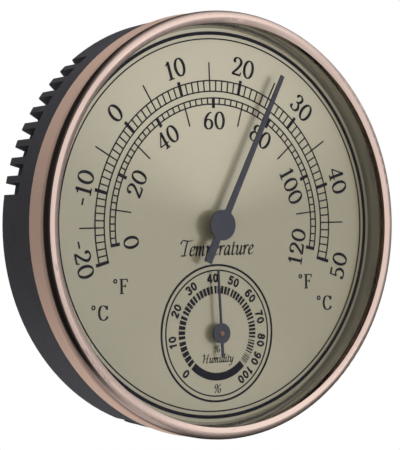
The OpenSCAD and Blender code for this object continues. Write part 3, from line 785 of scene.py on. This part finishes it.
lamp("key", (KEY_FAR * math.sin(KEY_TURN), DIAL_Y - KEY_FAR * math.cos(KEY_TURN), KEY_RISE),
     (0.0, DIAL_Y, 0.0), width=0.2, power=1.2)
lamp("top", (-0.04, 0.02, 0.28), ORIGIN, width=0.15, power=0.55)
lamp("low", (-0.05, 0.03, -0.2), ORIGIN, width=0.15, power=0.28)


def stage_piece(name, mesh, material):
    """Puts a mesh on the stage, which isn't part of the object."""
    mesh.materials.append(material)
    obj = bpy.data.objects.new(name, mesh)
    scene.collection.objects.link(obj)
    return obj


def direction(turn, rise):
    """Unit vector at an angle to the right of the dial's normal and one above the horizon."""
    t, e = math.radians(turn), math.radians(rise)
    return Vector((math.sin(t) * math.cos(e), -math.cos(t) * math.cos(e), math.sin(e)))


# The surround's radius, the angle between the lines of its mesh and the level at which it begins
# to open to the white world
SHELL_FAR = 1.7
SHELL_STEP = 6
CARD_LEVEL = 0.7

# How bright the studio looks in the object's gloss, by unit direction from the object's middle.
# Each pair is a place on the slope and the level there. BACK_SLOPE darkens it from the front to
# the back, where SIDE_SHIFT moves that slope with x, RIGHT_SLOPE to the right and LOW_SLOPE
# towards the floor. GROUND, where GROUND_SIDE lets it, and BACK_WALL keep some light there.
BACK_SLOPE = (
    (-0.6, 1.0), (-0.42, 0.9), (-0.2, 0.7), (-0.1, 0.54), (0.0, 0.4), (0.1, 0.25), (0.2, 0.16),
    (0.3, 0.11), (0.5, 0.04), (0.75, 0.018),
)
BACK_START = 0.03
SIDE_SHIFT = ((-1.0, -1.0), (0.0, 0.0), (1.0, 0.6))
RIGHT_SLOPE = (
    (0.5, 1.0), (0.6, 0.86), (0.75, 0.62), (0.85, 0.42), (0.95, 0.28), (1.05, 0.2), (1.15, 0.17),
)
RIGHT_LEAN = 0.4
LOW_SLOPE = ((-0.85, 0.3), (-0.6, 0.62), (-0.35, 0.78), (-0.1, 1.0))
GROUND = ((-0.75, 0.52), (-0.35, 0.0))
GROUND_SIDE = ((-0.5, 0.0), (-0.05, 1.0), (0.15, 1.0), (0.4, 0.0))
BACK_WALL = ((0.86, 0.0), (0.98, 0.22))
# The studio is plain but for one highlight, which the cosines bound
HIGHLIGHT = direction(36.0, 26.0)
HIGHLIGHT_EDGE = 0.9
HIGHLIGHT_CORE = 0.985
PLAIN_LEVEL = 0.83


def surround_look():
    """A matt grey that turns clear where the studio is bright."""
    look = Look("surround_grade")
    x, y, z = [look.math("DIVIDE", a, SHELL_FAR) for a in look.axes()]
    shifted = look.math("SUBTRACT", y, look.slope(x, SIDE_SHIFT))
    behind = look.math("SUBTRACT", shifted, BACK_START)
    aside = look.math("SUBTRACT", x, look.math("MULTIPLY", z, RIGHT_LEAN))
    level = look.math("MULTIPLY", look.slope(behind, BACK_SLOPE), look.slope(aside, RIGHT_SLOPE))
    level = look.math("MULTIPLY", level, look.slope(z, LOW_SLOPE))
    ground = look.math("MULTIPLY", look.slope(z, GROUND), look.slope(x, GROUND_SIDE))
    level = look.math("ADD", look.math("MAXIMUM", level, ground), look.slope(y, BACK_WALL))
    towards = look.math("ADD", look.math("MULTIPLY", x, HIGHLIGHT.x),
                        look.math("MULTIPLY", y, HIGHLIGHT.y))
    towards = look.math("ADD", towards, look.math("MULTIPLY", z, HIGHLIGHT.z))
    highlight = look.span(towards, HIGHLIGHT_EDGE, HIGHLIGHT_CORE, PLAIN_LEVEL, 1.0)
    level = look.math("MULTIPLY", level, highlight)
    grey = look.math("DIVIDE", level, CARD_LEVEL, clamp=True)
    look.set(Base_Color=look.vector(grey, grey, grey), Roughness=0.9, Specular_IOR_Level=0.0)
    opening = look.tree.nodes.new("ShaderNodeBsdfTransparent")
    mixed = look.tree.nodes.new("ShaderNodeMixShader")
    look.put(mixed.inputs[0], look.span(level, CARD_LEVEL, 1.0, smooth=False))
    look.link(look.bsdf.outputs[0], mixed.inputs[1])
    look.link(opening.outputs[0], mixed.inputs[2])
    look.link(mixed.outputs[0], look.out.inputs["Surface"])
    return look.mat


def floor_look():
    look = Look("floor_look")
    pale = linear(245, 245, 245)
    darker = tuple(c * 0.97 for c in pale[:3]) + (1.0,)
    look.set(
        Base_Color=look.mix(look.noise(scale=8.0), darker, pale),
        Roughness=0.9,
        Specular_IOR_Level=0.0,
    )
    return look.mat


# A sphere round the object, seen only in its gloss
surround_mesh = bpy.data.meshes.new("surround")
bm = bmesh.new()
bmesh.ops.create_uvsphere(
    bm, u_segments=360 // SHELL_STEP, v_segments=180 // SHELL_STEP, radius=SHELL_FAR)
bm.to_mesh(surround_mesh)
bm.free()
surround = stage_piece("surround", surround_mesh, surround_look())
surround.visible_camera = False
surround.visible_diffuse = False
surround.visible_shadow = False
surround.visible_transmission = False

FLOOR_Z = -0.25
FLOOR_HALF = 1.0
floor_mesh = bpy.data.meshes.new("floor")
floor_mesh.from_pydata(
    [(x * FLOOR_HALF, y * FLOOR_HALF, FLOOR_Z) for x, y in ((-1, -1), (1, -1), (1, 1), (-1, 1))],
    [], [(0, 1, 2, 3)])
floor = stage_piece("floor", floor_mesh, floor_look())
floor.visible_glossy = False

# The world is plain white to the camera, gloss and glass, and dimmer as light on the object
LIGHT_LEVEL = 0.72
WHITE_LEVEL = 1.0
world = bpy.data.worlds.new("studio")
scene.world = world
world.use_nodes = True
tree = world.node_tree
tree.nodes.clear()


def background(level):
    node = tree.nodes.new("ShaderNodeBackground")
    node.inputs["Color"].default_value = WHITE
    node.inputs["Strength"].default_value = level
    return node.outputs[0]


path = tree.nodes.new("ShaderNodeLightPath")
seen = path.outputs["Is Camera Ray"]
for ray in ("Is Glossy Ray", "Is Transmission Ray"):
    either = tree.nodes.new("ShaderNodeMath")
    either.operation = "ADD"
    either.use_clamp = True
    tree.links.new(seen, either.inputs[0])
    tree.links.new(path.outputs[ray], either.inputs[1])
    seen = either.outputs[0]
mixer = tree.nodes.new("ShaderNodeMixShader")
tree.links.new(seen, mixer.inputs[0])
tree.links.new(background(LIGHT_LEVEL), mixer.inputs[1])
tree.links.new(background(WHITE_LEVEL), mixer.inputs[2])
out = tree.nodes.new("ShaderNodeOutputWorld")
tree.links.new(mixer.outputs[0], out.inputs["Surface"])

# The photograph's camera, as fitted to the dial and the bezel
camera_data = bpy.data.cameras.new("camera")
camera_data.sensor_fit = "HORIZONTAL"
camera_data.sensor_width = 36.0
camera_data.lens = 225.339
camera_data.clip_start = 0.01
camera_data.clip_end = 10.0
camera = bpy.data.objects.new("camera", camera_data)
scene.collection.objects.link(camera)
camera.location = (-0.353052, -0.500582, 0.005844)
camera.rotation_euler = [math.radians(a) for a in (89.44805, 0.89714, -35.77173)]
scene.camera = camera
scene.view_settings.view_transform = "Standard"
scene.view_settings.look = "None"
